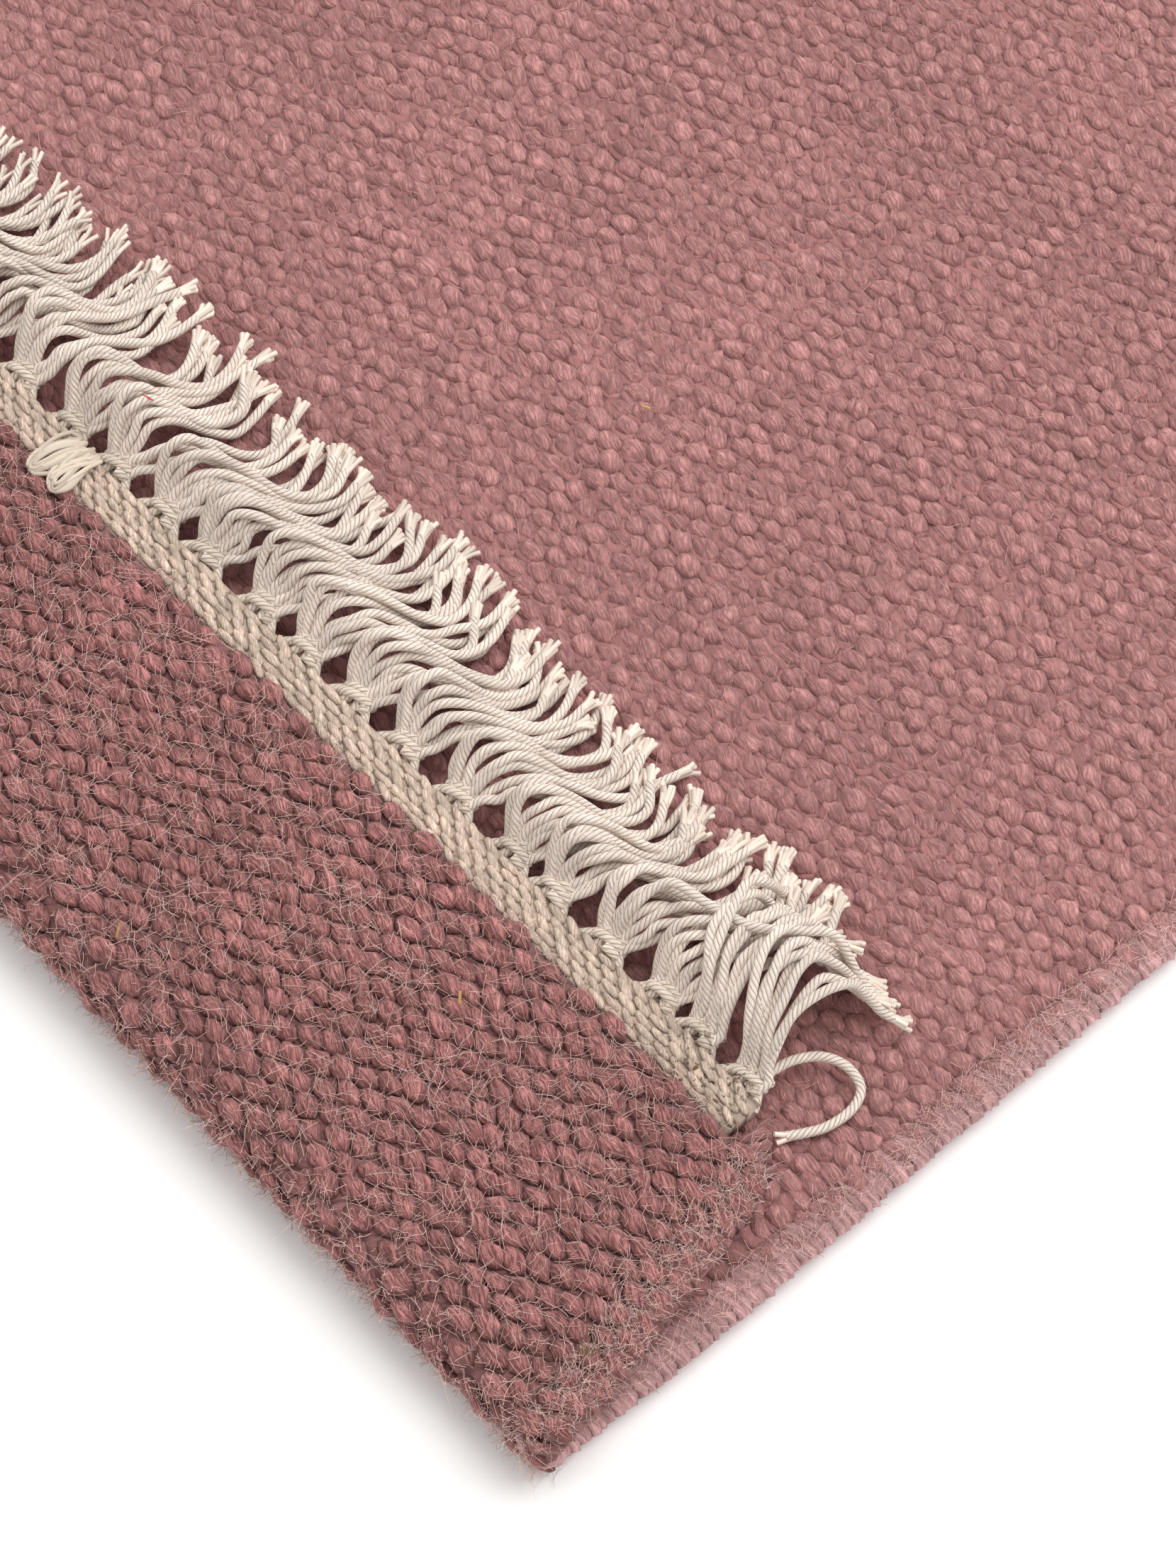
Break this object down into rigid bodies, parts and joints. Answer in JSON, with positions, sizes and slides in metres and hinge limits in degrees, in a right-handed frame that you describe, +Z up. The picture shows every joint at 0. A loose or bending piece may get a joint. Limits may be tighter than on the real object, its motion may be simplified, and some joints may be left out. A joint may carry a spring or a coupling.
{
  "type": "wool rug",
  "caption": "Small flat-woven wool rug with one end folded back over its face, wrapped selvedges, cotton end bands and knotted fringes.",
  "frame": {"origin": "centre of the rug's footprint, on the ground", "axes": "+X across the rug along the weft, towards the selvedge of the pictured corner; +Y along the warp, from the fold towards the far end; +Z up"},
  "size_m": [0.61, 0.8747, 0.0224],
  "materials": {
    "wool": "matte woven wool, dusty pink",
    "selvedge_wool": "matte wrapped wool, paler lilac pink",
    "cotton": "matte undyed cotton"
  },
  "bodies": {
    "root": {"wool_cloth": "wool", "selvedge_right": "selvedge_wool", "selvedge_left": "selvedge_wool", "band_flap": "cotton", "band_far": "cotton", "fringe_flap": "cotton", "fringe_far": "cotton"}
  },
  "joints": []
}
